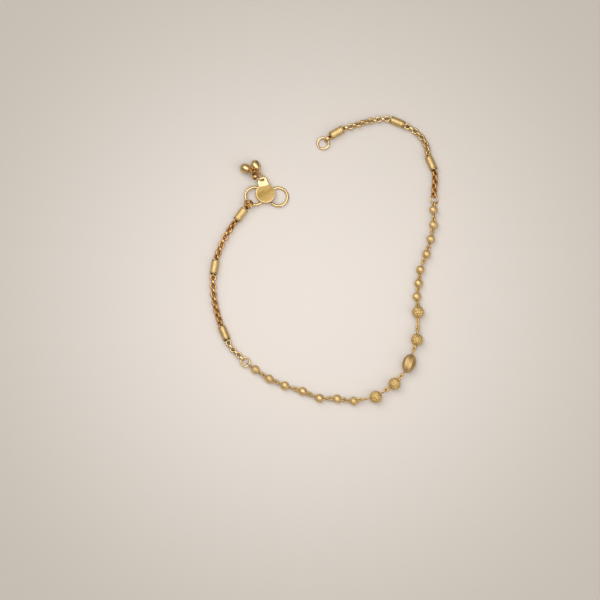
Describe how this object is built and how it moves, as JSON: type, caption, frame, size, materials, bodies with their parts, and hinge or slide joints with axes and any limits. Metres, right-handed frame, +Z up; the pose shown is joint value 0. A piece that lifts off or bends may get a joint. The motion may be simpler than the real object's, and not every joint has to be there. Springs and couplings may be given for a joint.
{
  "type": "beaded anklet",
  "caption": "Open gold-tone anklet of beads, hollow tubes and rolo chain, with a figure-eight hook, small bells and an end ring.",
  "frame": {"origin": "middle of the footprint, at the height of the surface that the anklet lies on", "axes": "+Z up from that surface; +Y towards the top of the picture, where the opening is; +X to the right"},
  "size_m": [0.0802, 0.1035, 0.0048],
  "materials": {
    "polished_gold": "gold-plated, diamond-cut",
    "satin_gold": "gold-plated, satin brushed",
    "coppery_gold": "gold-plated, polished, reddish"
  },
  "bodies": {
    "root": {"hook": "satin_gold", "drop_ring": "polished_gold", "drop_link_1": "coppery_gold", "drop_link_2": "coppery_gold", "drop_link_3": "coppery_gold", "bell_1": "polished_gold", "bell_2": "polished_gold", "clasp_ring": "polished_gold", "end_link": "coppery_gold", "end_ring": "polished_gold", "tube_1": "polished_gold", "tube_2": "polished_gold", "tube_3": "polished_gold", "tube_4": "polished_gold", "tube_5": "polished_gold", "tube_6": "polished_gold", "chain_1": "coppery_gold", "chain_2": "coppery_gold", "chain_3": "coppery_gold", "chain_4": "coppery_gold", "chain_5": "coppery_gold", "chain_6": "coppery_gold", "connector_ring_1": "polished_gold", "connector_ring_2": "polished_gold", "bead_l1": "satin_gold", "bead_l2": "satin_gold", "bead_l3": "satin_gold", "bead_l4": "satin_gold", "bead_l5": "satin_gold", "bead_l6": "satin_gold", "bead_l7": "satin_gold", "ball_1": "polished_gold", "ball_2": "polished_gold", "oval_bead": "polished_gold", "ball_3": "polished_gold", "ball_4": "polished_gold", "bead_r1": "satin_gold", "bead_r2": "satin_gold", "bead_r3": "satin_gold", "bead_r4": "satin_gold", "bead_r5": "satin_gold", "bead_r6": "satin_gold", "bead_r7": "satin_gold"}
  },
  "joints": []
}
